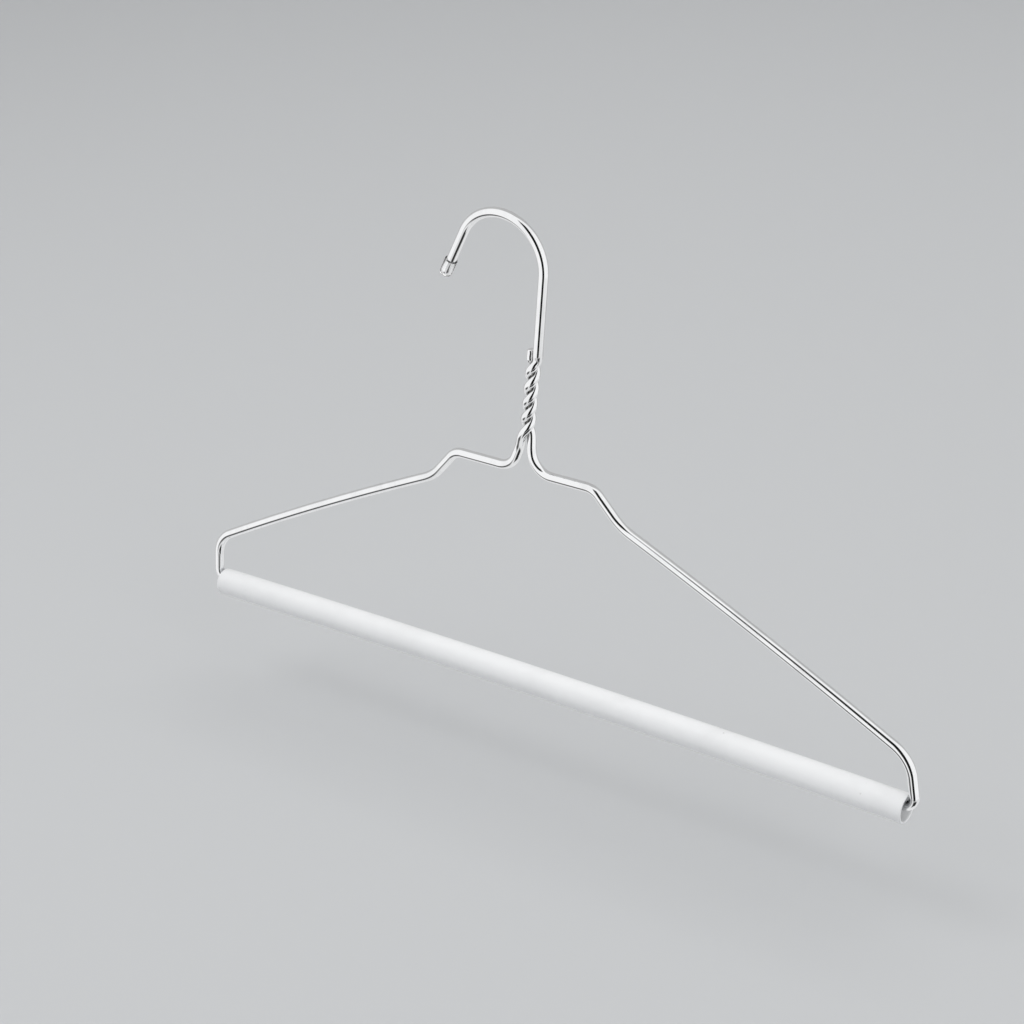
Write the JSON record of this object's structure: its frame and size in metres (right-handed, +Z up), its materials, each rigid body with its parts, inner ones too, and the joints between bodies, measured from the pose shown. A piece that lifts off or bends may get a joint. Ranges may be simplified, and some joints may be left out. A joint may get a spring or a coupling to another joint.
{
  "type": "trouser hanger",
  "caption": "Bent aluminium rod hanger with a twisted neck, an open hook with a clear tip cap, and a white rolling tube that trousers fold over.",
  "frame": {"origin": "top of the inside of the hook, where the rail carries the hanger", "axes": "+X along the tube, away from the hook's open side; +Y through the flat of the hanger, from the front that the picture shows to the back; +Z up"},
  "size_m": [0.41, 0.0138, 0.2466],
  "materials": {
    "wire_frame": "polished",
    "trouser_tube": "satin white",
    "hook_tip_cap": "clear gloss"
  },
  "bodies": {
    "hanger": {"wire_frame": "wire_frame", "hook_tip_cap": "hook_tip_cap"},
    "tube": {"trouser_tube": "trouser_tube"}
  },
  "joints": [
    {"name": "tube_roll", "type": "hinge", "parent": "hanger", "child": "tube", "pos_m": [0.00649, 0, -0.23317], "axis": [1, 0, 0], "continuous": true}
  ]
}
